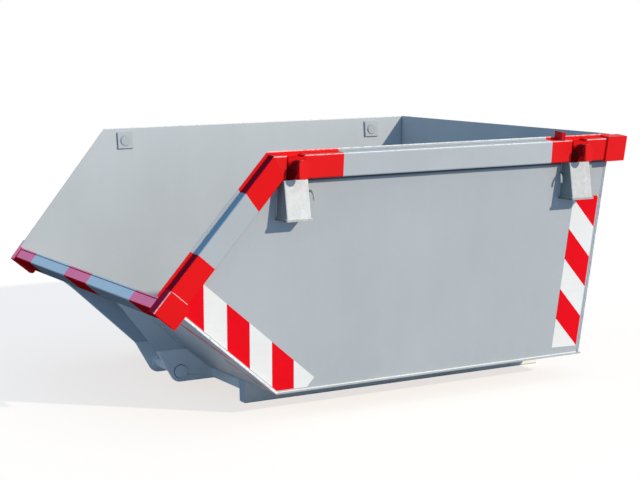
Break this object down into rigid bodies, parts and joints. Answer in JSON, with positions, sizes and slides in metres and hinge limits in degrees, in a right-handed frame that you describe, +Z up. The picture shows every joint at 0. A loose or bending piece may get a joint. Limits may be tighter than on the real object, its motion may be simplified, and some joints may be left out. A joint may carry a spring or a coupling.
{
  "type": "builders skip",
  "caption": "Open welded steel skip with flared sides, a sloped front with a low loading lip, lifting pins on the side rims, stacking boxes, runners and a tipping axle underneath.",
  "frame": {"origin": "on the ground under the middle of the skip's overall length and width", "axes": "+X to the tall rear end, -X to the loading lip, -Y to the side with the stop bracket, +Z up"},
  "size_m": [2.3158, 2.0078, 1.1628],
  "materials": {
    "grey_paint": "semi-gloss",
    "red_paint": "gloss",
    "galvanised_steel": "satin"
  },
  "bodies": {
    "root": {"box_foot_front_left": "galvanised_steel", "box_foot_front_right": "galvanised_steel", "box_foot_rear_left": "galvanised_steel", "box_foot_rear_right": "galvanised_steel", "floor_plate": "grey_paint", "front_slope_plate": "grey_paint", "front_tie_left": "grey_paint", "front_tie_right": "grey_paint", "gusset_web_left": "grey_paint", "gusset_web_right": "grey_paint", "lifting_pin_front_left": "red_paint", "lifting_pin_front_right": "red_paint", "lifting_pin_rear_left": "red_paint", "lifting_pin_rear_right": "red_paint", "lip_beam": "grey_paint", "lip_cap_left": "red_paint", "lip_cap_right": "red_paint", "net_hook_front_left": "grey_paint", "net_hook_front_right": "grey_paint", "net_hook_rear_left": "grey_paint", "net_hook_rear_right": "grey_paint", "pin_boss_front_left": "red_paint", "pin_boss_front_right": "red_paint", "pin_boss_rear_left": "red_paint", "pin_boss_rear_right": "red_paint", "pin_doubler_front_left": "grey_paint", "pin_doubler_front_right": "grey_paint", "pin_doubler_rear_left": "grey_paint", "pin_doubler_rear_right": "grey_paint", "pin_head_front_left": "red_paint", "pin_head_front_right": "red_paint", "pin_head_rear_left": "red_paint", "pin_head_rear_right": "red_paint", "rear_beam": "grey_paint", "rear_block_left": "red_paint", "rear_block_right": "red_paint", "rear_panel": "grey_paint", "rim_long_left": "grey_paint", "rim_long_right": "grey_paint", "rim_slope_left": "grey_paint", "rim_slope_right": "grey_paint", "rim_stub_left": "red_paint", "rim_stub_right": "red_paint", "rim_tail_left": "red_paint", "rim_tail_right": "red_paint", "runner_left": "grey_paint", "runner_plate_left": "grey_paint", "runner_plate_right": "grey_paint", "runner_right": "grey_paint", "side_panel_left": "grey_paint", "side_panel_right": "grey_paint", "stacking_box_front_left": "galvanised_steel", "stacking_box_front_right": "galvanised_steel", "stacking_box_rear_left": "galvanised_steel", "stacking_box_rear_right": "galvanised_steel", "stop_bracket": "red_paint", "tipping_axle": "grey_paint", "tipping_bracket_left": "grey_paint", "tipping_bracket_right": "grey_paint"}
  },
  "joints": []
}
